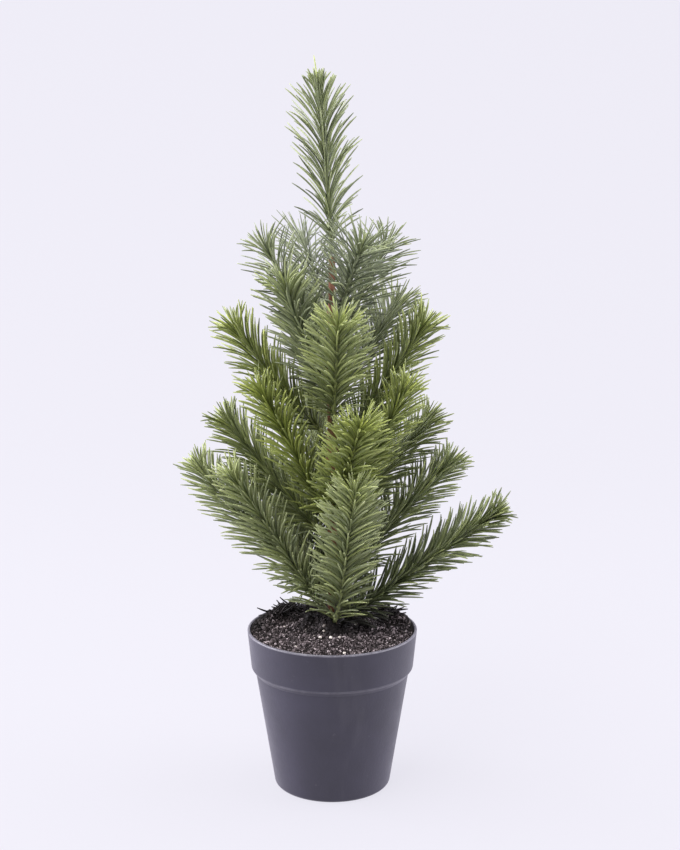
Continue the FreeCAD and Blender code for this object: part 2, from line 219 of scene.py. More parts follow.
class Nodes:
    """A material's node tree, with short calls for the nodes used here."""

    def __init__(self, name):
        self.material = bpy.data.materials.new(name)
        self.material.use_nodes = True
        self.tree = self.material.node_tree
        self.shader = self.tree.nodes["Principled BSDF"]

    def new(self, kind, **settings):
        node = self.tree.nodes.new(kind)
        for key, value in settings.items():
            setattr(node, key, value)
        return node

    def link(self, source, target):
        self.tree.links.new(source, target)

    def plain(self, **values):
        """Constant values set on the shader's own sockets."""
        for key, value in values.items():
            self.shader.inputs[key.replace("_", " ")].default_value = value

    def noise(self, scale, detail=4.0, roughness=0.55, distortion=0.0, stretch=None):
        coordinates = self.new("ShaderNodeTexCoord").outputs["Object"]
        if stretch:
            mapping = self.new("ShaderNodeMapping")
            mapping.inputs["Scale"].default_value = stretch
            self.link(coordinates, mapping.inputs["Vector"])
            coordinates = mapping.outputs["Vector"]
        node = self.new("ShaderNodeTexNoise")
        node.inputs["Scale"].default_value = scale
        node.inputs["Detail"].default_value = detail
        node.inputs["Roughness"].default_value = roughness
        node.inputs["Distortion"].default_value = distortion
        self.link(coordinates, node.inputs["Vector"])
        return node.outputs["Fac"]

    def ramp(self, source, stops):
        """A colour ramp; stops are (position, colour) pairs."""
        node = self.new("ShaderNodeValToRGB")
        elements = node.color_ramp.elements
        while len(elements) < len(stops):
            elements.new(0.5)
        for element, (position, colour) in zip(elements, stops):
            element.position = position
            element.color = (*colour, 1.0)
        self.link(source, node.inputs["Fac"])
        return node.outputs["Color"]

    def span(self, source, low, high, to_low, to_high):
        """A value mapped from one range to another, clamped."""
        node = self.new("ShaderNodeMapRange")
        for key, value in zip(("From Min", "From Max", "To Min", "To Max"), (low, high, to_low, to_high)):
            node.inputs[key].default_value = value
        self.link(source, node.inputs["Value"])
        return node.outputs["Result"]

    def mix(self, share, first, second, blend="MIX"):
        node = self.new("ShaderNodeMix", data_type="RGBA", blend_type=blend)
        for value, socket in ((share, 0), (first, 6), (second, 7)):
            if isinstance(value, bpy.types.NodeSocket):
                self.link(value, node.inputs[socket])
            elif socket == 0:
                node.inputs[socket].default_value = value
            else:
                node.inputs[socket].default_value = (*value, 1.0)
        return node.outputs[2]

    def channels(self, label):
        """The four channels of a colour attribute."""
        attribute = self.new("ShaderNodeAttribute", attribute_name=label)
        split = self.new("ShaderNodeSeparateColor")
        self.link(attribute.outputs["Color"], split.inputs["Color"])
        return [split.outputs[0], split.outputs[1], split.outputs[2], attribute.outputs["Alpha"]]

    def height(self):
        """The height of a point above the floor."""
        split = self.new("ShaderNodeSeparateXYZ")
        self.link(self.new("ShaderNodeTexCoord").outputs["Object"], split.inputs[0])
        return split.outputs[2]

    def colour(self, source):
        self.link(source, self.shader.inputs["Base Color"])

    def roughness(self, source):
        self.link(source, self.shader.inputs["Roughness"])

    def bump(self, source, strength, distance):
        node = self.new("ShaderNodeBump")
        node.inputs["Strength"].default_value = strength
        node.inputs["Distance"].default_value = distance
        self.link(source, node.inputs["Height"])
        self.link(node.outputs["Normal"], self.shader.inputs["Normal"])


def needle_material():
    """Moulded polyethylene: bluish to yellowish green, with a waxy sheen. Paler at the tips, partly their own
    colour and partly a painted sheen; painted shade at each needle's root; each needle's brightness spread at
    random, partly its own tone and partly painted light and shade.
    """
    mat = Nodes("needle_plastic")
    along, chance, fresh, near_soil_black = mat.channels("needle")
    body = mat.ramp(fresh, [
        (0.0, (0.200, 0.228, 0.152)),
        (0.5, (0.212, 0.248, 0.110)),
        (1.0, (0.232, 0.274, 0.066)),
    ])
    tip = mat.ramp(fresh, [
        (0.0, (0.270, 0.298, 0.210)),
        (0.5, (0.300, 0.336, 0.165)),
        (1.0, (0.350, 0.392, 0.112)),
    ])
    # Paler towards each needle's tip: partly the tips' own colour, partly a painted sheen.
    colour = mat.mix(mat.span(along, 0.45, 1.0, 0.0, 0.42), body, tip)
    # Painted shade: each needle darker where it leaves the stem, as in the shade between the needles.
    root = mat.ramp(along, [(0.0, (0.62, 0.62, 0.62)), (0.25, (1.0, 1.0, 1.0))])
    colour = mat.mix(1.0, colour, root, "MULTIPLY")
    # Each needle darker or paler by its chance value: partly its own tone, partly painted light and shade, lit
    # needles against shaded gaps.
    varied = mat.ramp(chance, [
        (0.0, (0.40, 0.42, 0.39)),
        (0.5, (1.0, 1.0, 1.0)),
        (1.0, (1.65, 1.60, 1.46)),
    ])
    colour = mat.mix(1.0, colour, varied, "MULTIPLY")
    mottle = mat.ramp(mat.noise(420.0, 3.0), [(0.3, (0.84, 0.84, 0.84)), (0.7, (1.14, 1.14, 1.12))])
    colour = mat.mix(1.0, colour, mottle, "MULTIPLY")
    # Near black on needles and stems low down by the soil.
    colour = mat.mix(near_soil_black, colour, (0.016, 0.014, 0.013))
    mat.colour(colour)
    mat.roughness(mat.span(mat.noise(900.0, 2.0), 0.3, 0.7, 0.28, 0.40))
    mat.bump(mat.noise(1500.0, 2.0), 0.18, 0.0002)
    mat.plain(Specular_IOR_Level=0.5, Subsurface_Weight=0.05, Subsurface_Scale=0.001)
    mat.shader.inputs["Subsurface Radius"].default_value = (0.8, 1.0, 0.35)
    return mat.material


def pot_material():
    """Matte charcoal plastic, dusty, with painted highlights along its lip and the edge of its collar."""
    mat = Nodes("pot_plastic")
    cloud = mat.ramp(mat.noise(28.0, 6.0, 0.62), [
        (0.30, (0.012, 0.010, 0.024)),
        (0.72, (0.022, 0.019, 0.040)),
    ])
    streak = mat.noise(60.0, 5.0, 0.6, stretch=(1.0, 1.0, 0.12))
    colour = mat.mix(mat.span(streak, 0.55, 0.78, 0.0, 0.35), cloud, (0.062, 0.058, 0.076))
    scuff = mat.noise(340.0, 3.0, 0.7, 1.5)
    colour = mat.mix(mat.span(scuff, 0.66, 0.78, 0.0, 0.35), colour, (0.120, 0.113, 0.135))
    # Painted highlights: pale bands along the lip and along the collar's lower edge, where the edges catch the
    # light; this noise breaks them up.
    highlight_breakup = mat.span(mat.noise(110.0, 4.0, 0.6), 0.30, 0.65, 0.15, 0.70)
    for level, reach, strength in ((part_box("pot")[1].z, 1.1 * MM, 1.0), (COLLAR_EDGE, 0.9 * MM, 0.5)):
        near = mat.new("ShaderNodeMath", operation="COMPARE")
        near.inputs[1].default_value = level
        near.inputs[2].default_value = reach
        mat.link(mat.height(), near.inputs[0])
        share = mat.new("ShaderNodeMath", operation="MULTIPLY")
        mat.link(near.outputs[0], share.inputs[0])
        mat.link(mat.span(highlight_breakup, 0.0, 1.0, 0.0, strength), share.inputs[1])
        colour = mat.mix(share.outputs[0], colour, (0.200, 0.190, 0.225))
    mat.colour(colour)
    mat.roughness(mat.span(mat.noise(90.0, 5.0, 0.6), 0.3, 0.7, 0.36, 0.48))
    mat.bump(mat.noise(650.0, 4.0, 0.6), 0.28, 0.0003)
    mat.plain(Specular_IOR_Level=0.68)
    mat.plain(Sheen_Weight=0.11, Sheen_Roughness=0.45, Sheen_Tint=(0.86, 0.80, 1.0, 1.0))
    return mat.material


def grit_material():
    """Glued grit: near black to purplish brown, with some paler grains."""
    mat = Nodes("soil_grit")
    tone, paleness, dark, wet = mat.channels("grit")
    base = mat.ramp(tone, [
        (0.0, (0.014, 0.012, 0.012)),
        (0.40, (0.060, 0.048, 0.050)),
        (0.75, (0.215, 0.180, 0.190)),
        (1.0, (0.540, 0.470, 0.490)),
    ])
    colour = mat.mix(paleness, base, (0.46, 0.41, 0.38))
    speckle = mat.ramp(mat.noise(2600.0, 2.0), [
        (0.35, (0.72, 0.72, 0.72)),
        (0.70, (1.25, 1.22, 1.22)),
    ])
    colour = mat.mix(1.0, colour, speckle, "MULTIPLY")
    # Blackened by the dark channel: on the grains partly their own black glue and partly painted shade, from
    # soil_darkness.
    colour = mat.mix(dark, colour, (0.008, 0.007, 0.007))
    mat.colour(colour)
    mat.roughness(mat.span(wet, 0.0, 1.0, 0.88, 0.52))
    mat.bump(mat.noise(1900.0, 3.0), 0.5, 0.0003)
    mat.plain(Specular_IOR_Level=0.14)
    return mat.material


def perlite_material():
    """Expanded mineral: off-white to pale brown, rough and pitted."""
    mat = Nodes("perlite_grain")
    mat.colour(mat.ramp(mat.noise(900.0, 4.0), [
        (0.3, (0.60, 0.50, 0.44)),
        (0.7, (0.86, 0.82, 0.78)),
    ]))
    mat.roughness(mat.span(mat.noise(500.0), 0.3, 0.7, 0.75, 0.92))
    mat.bump(mat.noise(2200.0, 4.0), 0.6, 0.0003)
    return mat.material


def tape_material():
    """Crepe paper tape: reddish brown with olive stains and fine creases."""
    mat = Nodes("paper_tape")
    stain = mat.ramp(mat.noise(75.0, 5.0, 0.6), [
        (0.32, (0.165, 0.130, 0.045)),
        (0.50, (0.235, 0.095, 0.055)),
        (0.72, (0.400, 0.180, 0.120)),
    ])
    crease = mat.noise(900.0, 3.0, 0.6, stretch=(1.0, 1.0, 3.5))
    colour = mat.mix(mat.span(crease, 0.35, 0.65, 0.0, 0.45), stain, (0.090, 0.045, 0.030))
    mat.colour(colour)
    mat.roughness(mat.span(crease, 0.3, 0.7, 0.62, 0.85))
    mat.bump(crease, 0.55, 0.0003)
    return mat.material


def wire_material():
    """Dark annealed steel wire with drawing lines and a few rust freckles."""
    mat = Nodes("steel_wire")
    drawn = mat.noise(700.0, 3.0, stretch=(1.0, 1.0, 0.1))
    colour = mat.ramp(drawn, [(0.3, (0.10, 0.095, 0.090)), (0.7, (0.22, 0.21, 0.20))])
    rust = mat.span(mat.noise(500.0, 4.0), 0.62, 0.75, 0.0, 0.7)
    colour = mat.mix(rust, colour, (0.16, 0.070, 0.035))
    mat.colour(colour)
    mat.roughness(mat.span(drawn, 0.3, 0.7, 0.38, 0.60))
    mat.bump(drawn, 0.2, 0.0001)
    mat.plain(Metallic=0.85)
    return mat.material


def cement_material():
    """Cast grey cement, cloudy and rough."""
    mat = Nodes("cement")
    mat.colour(mat.ramp(mat.noise(60.0, 8.0, 0.65), [
        (0.3, (0.26, 0.25, 0.24)),
        (0.7, (0.46, 0.45, 0.43)),
    ]))
    mat.roughness(mat.span(mat.noise(200.0), 0.3, 0.7, 0.80, 0.95))
    mat.bump(mat.noise(500.0, 6.0, 0.7), 0.6, 0.0008)
    return mat.material


def stage_material():
    """Pale lavender paper with a glow of its own, so that shadows on it stay faint."""
    mat = Nodes("backdrop")
    mat.plain(Base_Color=(0.058, 0.057, 0.062, 1.0), Roughness=0.9, Specular_IOR_Level=0.1)
    mat.plain(Emission_Color=(0.90, 0.885, 0.97, 1.0), Emission_Strength=0.81)
    return mat.material


# ---------------------------------------------------------------- sprigs

def mesh_points(node):
    """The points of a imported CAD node's mesh."""
    mesh = frame["nodes"][node].data
    points = np.empty(len(mesh.vertices) * 3, np.float32)
    mesh.vertices.foreach_get("co", points)
    return points.reshape(-1, 3).astype(float)


class SprigLine:
    """A stem's centre line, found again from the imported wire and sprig.

    The wire gives the direction at the root, the sprig's furthest point gives the tip, and the stem
    between them is an arc.
    """

    def __init__(self, name, bow):
        joint = next(joint for joint in frame["joints"] if joint["name"] == "bend_" + name)
        self.root = np.array(joint["pos_m"])
        self.side = unit(np.array(joint["axis"]))
        wire = mesh_points("wire_" + name)
        sprig = mesh_points("sprig_" + name)
        start = unit(wire.mean(axis=0) - self.root)
        tip = sprig[np.linalg.norm(sprig - self.root, axis=1).argmax()]
        chord = tip - self.root
        normal = np.cross(self.side, start)
        self.start, self.normal = start, normal
        self.half_bend = math.atan2(chord @ normal, chord @ start)
        straight = np.linalg.norm(chord)
        factor = self.half_bend / math.sin(self.half_bend) if abs(self.half_bend) > 1e-6 else 1.0
        self.length = straight * factor
        self.bow = bow * MM

    def frame_at(self, along):
        """Position, direction, side and normal at distances along the stem."""
        along = np.atleast_1d(np.asarray(along, float))
        share = along / self.length
        turn = 2.0 * self.half_bend * share
        half = 0.5 * turn
        reach = along * np.sinc(half / np.pi)
        position = (self.root + reach[:, None] * (np.cos(half)[:, None] * self.start
                                                  + np.sin(half)[:, None] * self.normal))
        direction = np.cos(turn)[:, None] * self.start + np.sin(turn)[:, None] * self.normal
        normal = np.cos(turn)[:, None] * self.normal - np.sin(turn)[:, None] * self.start
        # A sideways wave along the stem: one long bow with a smaller ripple of three half turns on it.
        wave = np.sin(np.pi * share) + 0.28 * np.sin(3.0 * np.pi * share)
        wave_slope = np.cos(np.pi * share) + 0.84 * np.cos(3.0 * np.pi * share)
        slope = self.bow * np.pi / self.length * wave_slope
        position = position + self.bow * wave[:, None] * self.side
        direction = unit(direction + slope[:, None] * self.side)
        side = unit(self.side - (direction @ self.side)[:, None] * direction)
        return position, direction, side, normal


def stem_radius(along, length):
    """Half the stem's width: a thick socket over the wire, then a slow taper to the tip."""
    socket = 1.0 - smooth_step(along, 15 * MM, 20 * MM)
    taper = 1.0 - along / length
    return (0.60 + 0.60 * taper) * MM + 0.32 * MM * socket


def add_stem(parts, line, stem_length, fresh, shade, blackening_near_soil):
    """The sprig's stem, knotted along its length, from just outside the trunk's tape to its tip."""
    along = np.linspace(STEM_START, stem_length, STEM_RINGS)
    position, _, side, normal = line.frame_at(along)
    radius = stem_radius(along, line.length)
    knots = 1.0 + 0.10 * np.sin(along / STEM_KNOTS * 2 * np.pi)
    points = tube_points(position, side, normal, radius * knots, radius * knots, STEM_SIDES, 1.0 * MM)
    data = np.zeros((len(points), 4))
    data[:, 0] = 0.62
    data[:, 1] = np.clip(0.78 * shade, 0.0, 1.0)
    data[:, 2] = fresh
    data[:, 3] = blackening_near_soil(points)
    parts.add(points, tube_faces(len(along), STEM_SIDES), data)


NEEDLE_FACES = tube_faces(NEEDLE_POINTS, NEEDLE_SIDES)
NEEDLE_SHARE = np.linspace(0.0, 1.0, NEEDLE_POINTS)
NEEDLE_WIDTH = MM * np.interp(NEEDLE_SHARE, [0, 0.12, 0.5, 0.8, 0.93, 1],
                              [0.70, 0.50, 0.55, 0.53, 0.45, 0.25])


class Needles:
    """A batch of needles on one stem, each described by one number in every list."""

    FIELDS = ("along", "around", "leave", "arrive", "size", "drift", "curl", "thick", "chance", "fresh")

    def __init__(self):
        self.rows = []

    def add(self, *values):
        self.rows.append(values)

    def points(self, line):
        """The needles' points, and their share of the way from base to tip."""
        value = dict(zip(self.FIELDS, np.array(self.rows).T))
        position, direction, side, normal = line.frame_at(value["along"])
        around = value["around"][:, None]
        outward = np.cos(around) * side + np.sin(around) * normal
        cross = np.cross(direction, outward)
        base = position + outward * stem_radius(value["along"], line.length)[:, None] * 0.5
        leave, arrive = value["leave"][:, None], value["arrive"][:, None]
        turn = leave + (arrive - leave) * NEEDLE_SHARE
        step = value["size"][:, None] / (NEEDLE_POINTS - 1)
        middle = 0.5 * (turn[:, 1:] + turn[:, :-1])
        nothing = np.zeros((len(middle), 1))
        forward = np.hstack([nothing, np.cumsum(np.cos(middle), axis=1)]) * step
        out = np.hstack([nothing, np.cumsum(np.sin(middle), axis=1)]) * step
        aside = (value["drift"] * value["size"])[:, None] * NEEDLE_SHARE ** 2
        lift = (value["curl"] * value["size"])[:, None] * NEEDLE_SHARE ** 2
        lines = (base[:, None]
                 + forward[..., None] * direction[:, None] + out[..., None] * outward[:, None]
                 + aside[..., None] * cross[:, None] + lift[..., None] * UP)
        tangent = unit(np.gradient(lines, axis=1))
        over = unit(np.cross(tangent, cross[:, None]))
        across = unit(np.cross(over, tangent))
        half = NEEDLE_WIDTH * value["thick"][:, None]
        points = tube_points(lines, across, over, half * 0.72, half, NEEDLE_SIDES, NEEDLE_END)
        colours = np.empty(points.shape[:2] + (4,))
        colours[..., 0] = np.concatenate([np.repeat(NEEDLE_SHARE, NEEDLE_SIDES), [0.0, 1.0]])
        colours[..., 1] = value["chance"][:, None]
        colours[..., 2] = value["fresh"][:, None]
        return points, colours


def clipped(value):
    """A number brought into the range from 0 to 1."""
    return min(max(value, 0.0), 1.0)


def row_needles(needles, rng, first, last, looks, tier, number):
    """One row of needles along the stem, wide open at its root and closing in towards its tip."""
    fresh, shade, _, roll, fan = looks
    spacing, length, thick, curl, leaving, arriving = tier
    angle, sparseness = NEEDLE_ROWS[number]
    pitch = spacing * MM * sparseness
    offset = (0.382 * number) % 1.0
    for index in range(int((last - first) / pitch)):
        along = first + (index + offset + rng.normal(0.0, 0.07)) * pitch
        share = (along - first) / (last - first)
        near_tip = float(smooth_step(share, 0.64, 1.0))
        near_root = 1.0 - float(smooth_step(share, 0.0, 0.25))
        around = math.radians(angle + roll + rng.normal(0.0, 6.0))
        leave = leaving + rng.normal(0, 4) + 16 * near_root - 3 * near_tip
        arrive = (arriving + rng.normal(0, 5) + 18 * near_root - (34 - 32 * fan) * near_tip
                  - 22 * math.sin(around) ** 2)
        shorter = 1 - 0.30 * near_root - (0.58 - 0.48 * fan) * near_tip
        size = length * MM * shorter * rng.normal(1, 0.05)
        needles.add(along, around, math.radians(leave), math.radians(arrive), size, rng.normal(0.0, 0.07),
                    curl, thick * rng.normal(1.0, 0.08),
                    # chance: the sprig's shade, painted shade on needles near the sprig's root by the trunk, and a
                    # random spread
                    clipped(0.5 * shade - 0.10 * near_root + rng.normal(0, 0.27)),
                    clipped(fresh + 0.12 * near_tip + rng.normal(0, 0.09)))


def rosette_needles(needles, rng, tip, spike, looks, tier):
    """The short needles that fan out round the sprig's tip, and the pale spike in the middle."""
    fresh, shade, _, _, fan = looks
    thick, curl = tier[2:4]
    for index in range(TIP_ROSETTE):
        ring = index % 3
        around = GOLDEN_TURN * index + rng.normal(0, 0.15)
        leave = (6, 14, 20)[ring] + rng.normal(0, 3)
        arrive = (14 + 12 * fan, 32 + 22 * fan, 46 + 30 * fan)[ring] + rng.normal(0, 4)
        size = ((10.5, 12.0, 13.5)[ring] + 8.0 * fan) * MM * rng.normal(1.0, 0.07)
        needles.add(tip - rng.uniform(0, 4.5) * MM, around, math.radians(leave), math.radians(arrive),
                    size, rng.normal(0.0, 0.06), curl, thick * rng.normal(0.97, 0.06),
                    clipped(0.47 * shade + rng.normal(0, 0.20)),
                    clipped(fresh + 0.16 + rng.normal(0, 0.08)))
    needles.add(tip - 1.0 * MM, 0.0, 0.0, math.radians(4), spike, 0.03, 0.0, 1.15 * thick, 0.90,
                clipped(fresh + 0.35))


# How far above the soil a sprig stops being blackened, in millimetres, where that isn't the usual 23.
UNBLACKENED_ABOVE = {"t4_front": 6}
BLACKENING_FADE = 14 * MM


def make_sprig(name, number, material):
    """A moulded sprig: a stem with rows of curved needles and a fan of short ones at its tip."""
    looks = SPRIG_LOOKS[name]
    tier = TIER_LOOKS[name.split("_")[0]]
    rng = np.random.default_rng(100 + number)
    line = SprigLine(name, looks[2])
    spike = LEADER_TIP_LENGTH if name == "leader" else TIP_LENGTH
    tip = line.length - spike - 6.0 * MM * looks[4]
    first = 8 * MM if name == "leader" or name.startswith("t1") else 4.5 * MM
    parts = MeshParts()
    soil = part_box("soil_fill")[1].z
    unblackened_level = soil + UNBLACKENED_ABOVE.get(name, 23) * MM

    def blackening_near_soil(points):
        """How far the points are blackened: most near the soil, and not at all above the level given for the
        sprig.
        """
        return 0.93 * (1.0 - smooth_step(points[..., 2], unblackened_level - BLACKENING_FADE, unblackened_level))

    add_stem(parts, line, tip, looks[0], looks[1], blackening_near_soil)
    needles = Needles()
    for row in range(len(NEEDLE_ROWS)):
        row_needles(needles, rng, first, tip, looks, tier, row)
    rosette_needles(needles, rng, tip, spike, looks, tier)
    points, colours = needles.points(line)
    colours[..., 3] = blackening_near_soil(points)
    parts.add(points, NEEDLE_FACES, colours)
    piece = parts.object("foliage_" + name, material, "needle")
    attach(piece, "leader" if name == "leader" else "branch_" + name)
    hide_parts("sprig_" + name)


# ---------------------------------------------------------------- trunk

TAPE_SIDES = 40
TAPE_NECK = 2.0 * MM         # the tape's radius above the top tier
TAPE_WINDING = 5.2 * MM      # how far up one turn of the tape climbs
TAPE_COLOUR = (0.5, 0.5, 0.0, 0.0)
LUMP_SIDES = 12
# Radii of the lump of tape over a wire's root, from the trunk outwards, in millimetres.
LUMP_RADII = [1.5, 1.35, 1.2, 1.05, 0.92, 0.8]


def make_trunk_tape(material):
    """The trunk's wound paper tape, with a thicker band under each tier and a lump at each wire."""
    wrap_low, wrap_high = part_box("trunk_wrap")
    binding_points = mesh_points("tape_bindings")
    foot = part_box("soil_fill")[1].z - 6 * MM
    levels = np.arange(foot, wrap_high.z, 0.45 * MM)
    parts = MeshParts()
    wide = 0.5 * (wrap_high.x - wrap_low.x)
    top_root = max(joint["pos_m"][2] for joint in frame["joints"] if joint["name"] != "bend_leader")
    rings = []
    for level in levels:
        narrowing = float(smooth_step(level, top_root + 4 * MM, top_root + 11 * MM))
        thickness = wide + (TAPE_NECK - wide) * narrowing
        near = np.abs(binding_points[:, 2] - level).min()
        band = 1.0 - float(smooth_step(near, 3.0 * MM, 6.0 * MM))
        ring = []
        for index in range(TAPE_SIDES):
            angle = 2 * math.pi * index / TAPE_SIDES
            place = (level / TAPE_WINDING + index / TAPE_SIDES) % 1.0
            ridge = 0.26 * MM * place ** 3
            spot = Vector((math.cos(angle), math.sin(angle), 0)) * 1.4
            spot = spot + Vector((0, 0, level / (4 * MM)))
            crease = 0.16 * MM * noise.noise(spot * 1.6) + 0.07 * MM * noise.noise(spot * 5.0)
            radius = thickness - 0.12 * MM + 0.45 * MM * band + ridge + crease
            ring.append((radius * math.cos(angle), radius * math.sin(angle), level))
        rings += ring
    points = np.array(rings + [(0, 0, levels[0]), (0, 0, levels[-1] + 0.3 * MM)])
    parts.add(points, tube_faces(len(levels), TAPE_SIDES), TAPE_COLOUR)
    for joint in frame["joints"]:
        root = np.array(joint["pos_m"])
        outward = root * np.array([1.0, 1.0, 0.0])
        if np.linalg.norm(outward) < 1 * MM:
            continue
        outward = unit(outward)
        rise = unit(outward + 0.9 * UP)
        side = unit(np.cross(UP, rise))
        start = root - rise * 3.6 * MM
        steps = len(LUMP_RADII)
        line = start + np.linspace(0, 1, steps)[:, None] * (rise * 3.9 * MM)
        half = np.array(LUMP_RADII) * MM
        sides, overs = np.tile(side, (steps, 1)), np.tile(np.cross(rise, side), (steps, 1))
        lump = tube_points(line, sides, overs, half, half, LUMP_SIDES, 0.15 * MM)
        parts.add(lump, tube_faces(steps, LUMP_SIDES), TAPE_COLOUR)
    piece = parts.object("trunk_tape", material, "tape")
    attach(piece, "root")
    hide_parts("trunk_wrap", "tape_bindings")


# ---------------------------------------------------------------- soil

# Heaps on the soil: x, y, height and radius in millimetres.
SOIL_HEAPS = [
    (-3.0, -4.0, 9.5, 6.5),
    (-14.0, 6.0, 6.0, 6.0),
    (-14.0, 24.0, 6.0, 8.0),
    (-29.0, 30.0, 5.0, 9.0),
    (-38.0, 22.0, 3.0, 6.0),
    (23.0, 2.0, 5.0, 6.0),
    (33.0, 28.0, 5.0, 10.0),
    (44.0, 15.0, 3.6, 8.0),
    (-46.0, 12.0, 1.8, 7.0),
    (6.0, 42.0, 3.5, 13.0),
]


def soil_height(x, y, top):
    """The soil's surface: small waves, heaps round the stems and along the back, and a low front rim."""
    spot = Vector((x, y, 0.0)) / MM
    height = 0.45 * noise.noise(spot * 0.06) + 0.40 * noise.noise(spot * 0.16 + Vector((7, 3, 0)))
    for heap_x, heap_y, rise, radius in SOIL_HEAPS:
        away = math.hypot(spot.x - heap_x, spot.y - heap_y) / radius
        height += rise * math.exp(-away ** 2) * (1.0 + 0.35 * noise.noise(spot * 0.35))
    edge = -0.6 * float(smooth_step(math.hypot(x, y), 34 * MM, 50 * MM)) * float(y < 0)
    return top + (height + edge) * MM


def icosahedron():
    """Points and faces of a regular icosahedron of radius 1."""
    golden = (1 + 5 ** 0.5) / 2
    points = []
    for first in (-1, 1):
        for second in (-golden, golden):
            points += [(0, first, second), (first, second, 0), (second, 0, first)]
    points = unit(np.array(points, float))
    distances = np.linalg.norm(points[:, None] - points[None], axis=2)
    near = distances < 1.1
    faces = []
    for a in range(12):
        for b in range(a + 1, 12):
            for c in range(b + 1, 12):
                if near[a, b] and near[b, c] and near[a, c]:
                    normal = np.cross(points[b] - points[a], points[c] - points[a])
                    faces.append((a, b, c) if np.dot(normal, points[a]) > 0 else (a, c, b))
    return points, faces


def rotation(axis, angle):
    """A turn about one of the three axes."""
    one, two = [index for index in range(3) if index != axis]
    matrix = np.eye(3)
    matrix[one, one] = matrix[two, two] = math.cos(angle)
    matrix[one, two], matrix[two, one] = -math.sin(angle), math.sin(angle)
    return matrix


def soil_sheet(parts, edge, top):
    """The continuous rough surface under the loose grains."""
    rings, turns = 44, 120
    points = []
    for ring in range(rings + 1):
        distance = edge * ring / rings
        for index in range(turns):
            angle = 2 * math.pi * index / turns
            x, y = distance * math.cos(angle), distance * math.sin(angle)
            rough = 0.25 * MM * noise.noise(Vector((x, y, 5)) / (1.3 * MM))
            points.append((x, y, soil_height(x, y, top) - 0.2 * MM + rough))
    faces = []
    for ring in range(1, rings):
        for index in range(turns):
            after = (index + 1) % turns
            low, high = ring * turns, (ring + 1) * turns
            faces.append((low + index, high + index, high + after, low + after))
    parts.add(points, [faces], (0.10, 0.0, 0.3, 0.5))


# Clumps of fallen needles caught in the soil: x, y and spread in millimetres, and how many needles.
FALLEN_NEEDLES = [
    (-34.0, 22.0, 3.0, 30),
    (-25.0, 28.0, 3.5, 34),
    (-15.0, 14.0, 3.0, 16),
    (27.0, 14.0, 4.0, 26),
    (37.0, 20.0, 3.5, 30),
]


# A fallen needle's radii from end to end, its shortest and longest length, and how far its tip may bend up
# or down, all in millimetres, and its steepest rise in degrees.
FALLEN_RADII = [0.40, 0.55, 0.60, 0.60, 0.55, 0.45, 0.30]
FALLEN_LENGTHS = (6.0, 10.5)
FALLEN_BEND = 2.5
FALLEN_RISE = 38


def add_fallen_needles(parts, rng, top):
    """Needles blackened by the soil, lying and standing at odd angles."""
    rings = len(FALLEN_RADII)
    shares = np.linspace(0.0, 1.0, rings)[:, None]
    half = np.array(FALLEN_RADII) * MM
    for clump_x, clump_y, spread, count in FALLEN_NEEDLES:
        for _ in range(count):
            x, y = rng.normal(clump_x, spread) * MM, rng.normal(clump_y, spread) * MM
            heading = rng.uniform(0, 2 * math.pi)
            rise = math.radians(rng.uniform(0, FALLEN_RISE))
            along = np.array([math.cos(heading) * math.cos(rise), math.sin(heading) * math.cos(rise),
                              math.sin(rise)])
            side = unit(np.cross(UP, along))
            start = np.array([x, y, soil_height(x, y, top) - 0.5 * MM])
            length = rng.uniform(*FALLEN_LENGTHS) * MM
            bend = rng.uniform(-FALLEN_BEND, FALLEN_BEND) * MM
            line = start + shares * along * length + shares ** 2 * bend * UP
            sides, overs = np.tile(side, (rings, 1)), np.tile(np.cross(along, side), (rings, 1))
            needle = tube_points(line, sides, overs, half, half, NEEDLE_SIDES, NEEDLE_END)
            dark = rng.uniform(0.55, 0.95)
            parts.add(needle, tube_faces(rings, NEEDLE_SIDES), (0.25, 0.0, dark, 0.9))


def soil_darkness(x, y):
    """Black, damp-looking clumps round the stems, along the back and at the left edge: partly the grit's own black
    glue, partly painted shade under the foliage and along the rim.
    """
    middle = 1.0 - float(smooth_step(math.hypot(x, y - 4 * MM), 15 * MM, 27 * MM))
    left = float(smooth_step(-x, 38 * MM, 46 * MM)) * float(smooth_step(y, -12 * MM, 2 * MM))
    back = float(smooth_step(y, 12 * MM, 26 * MM))
    patch = 0.5 + 0.5 * noise.noise(Vector((x, y, 9 * MM)) / (7 * MM))
    return min((0.95 * middle + 0.95 * left + 0.9 * back) * (0.50 + 0.8 * patch), 0.95)


